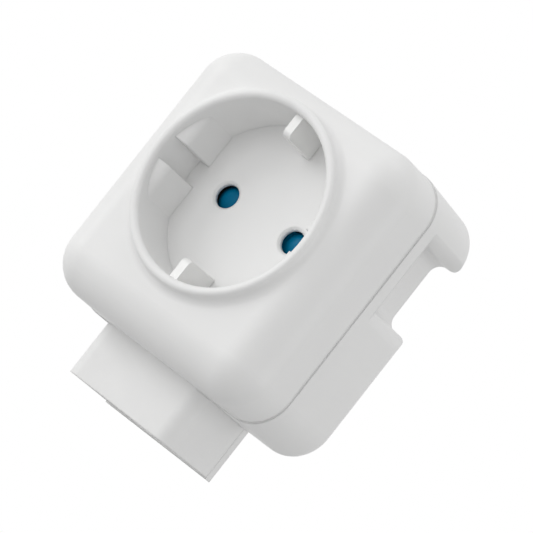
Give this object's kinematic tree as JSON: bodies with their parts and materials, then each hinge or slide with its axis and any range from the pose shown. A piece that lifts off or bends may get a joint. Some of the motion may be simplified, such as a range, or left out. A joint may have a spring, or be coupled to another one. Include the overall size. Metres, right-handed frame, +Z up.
{
  "type": "powerline adapter",
  "caption": "White plug-through powerline adapter: a round earthed mains socket in front, a mains plug behind, a network port box below.",
  "frame": {"origin": "middle of the plug's face, between its two pins", "axes": "+X to the right seen from the socket side, +Y into the wall along the plug's pins, +Z up"},
  "size_m": [0.0576, 0.07, 0.0717],
  "materials": {
    "white_shell": "satin white moulded casing",
    "earth_metal": "pale satin plated strip",
    "shutter_blue": "satin blue moulding",
    "spring_steel": "drawn spring wire",
    "inner_plastic": "unpainted inner moulding",
    "contact_brass": "pressed brass",
    "plug_plastic": "matt white moulding",
    "pin_nickel": "nickel-plated pin",
    "board_green": "solder-masked board",
    "jack_plastic": "black moulded jack",
    "shield_steel": "tinned sheet",
    "gold_wire": "gold-plated contact",
    "button_plastic": "satin pale grey cap",
    "switch_black": "black switch body",
    "clear_guide": "clear light guide",
    "led_body": "pale lamp body",
    "ferrite": "dark ferrite",
    "winding_tape": "yellow winding tape",
    "capacitor_sleeve": "shrunk dark blue sleeve",
    "film_yellow": "yellow film capacitor case",
    "copper_wire": "enamelled copper turns",
    "fuse_brown": "brown fuse case",
    "varistor_blue": "blue dipped disc",
    "chip_black": "black chip package",
    "sink_aluminium": "extruded aluminium",
    "crystal_can": "steel can",
    "screw_steel": "zinc-plated steel"
  },
  "bodies": {
    "casing": {"front_shell": "white_shell", "rear_shell": "white_shell", "port_cover": "white_shell", "socket_earth_upper": "earth_metal", "socket_earth_lower": "earth_metal", "shutter_cover": "inner_plastic", "shutter_spring": "spring_steel", "line_contact": "contact_brass", "neutral_contact": "contact_brass", "contact_carrier": "inner_plastic", "plug_body": "plug_plastic", "plug_pin_line": "pin_nickel", "plug_pin_neutral": "pin_nickel", "plug_earth_left": "earth_metal", "plug_earth_right": "earth_metal", "jack_housing": "jack_plastic", "jack_shield": "shield_steel", "jack_contacts": "gold_wire", "switch_body": "switch_black", "light_guide": "clear_guide", "status_led": "led_body", "main_board": "board_green", "transformer_core": "ferrite", "transformer_winding": "winding_tape", "bulk_capacitors": "capacitor_sleeve", "suppression_capacitor": "film_yellow", "line_choke_core": "ferrite", "line_choke_windings": "copper_wire", "fuse": "fuse_brown", "varistor": "varistor_blue", "bridge_rectifier": "chip_black", "network_chip": "chip_black", "heat_sink": "sink_aluminium", "ethernet_magnetics": "chip_black", "coupling_transformer": "ferrite", "memory_chip": "chip_black", "crystal": "crystal_can", "casing_screws": "screw_steel", "board_screws": "screw_steel", "plug_screws": "screw_steel"},
    "shutter_plate": {"shutter": "shutter_blue"},
    "button": {"pair_button": "button_plastic", "switch_plunger": "button_plastic"}
  },
  "joints": [
    {"name": "shutter_turn", "type": "hinge", "parent": "casing", "child": "shutter_plate", "pos_m": [0, -0.036, 0.0149], "axis": [0, 1, 0], "range_deg": [0, 36], "stiffness_Nm_per_rad": 0.004, "springref_deg": -17.19},
    {"name": "button_press", "type": "slide", "parent": "casing", "child": "button", "axis": [0, 0, 1], "range_m": [0, 0.0008], "stiffness_N_per_m": 400, "springref_m": -0.0005}
  ]
}
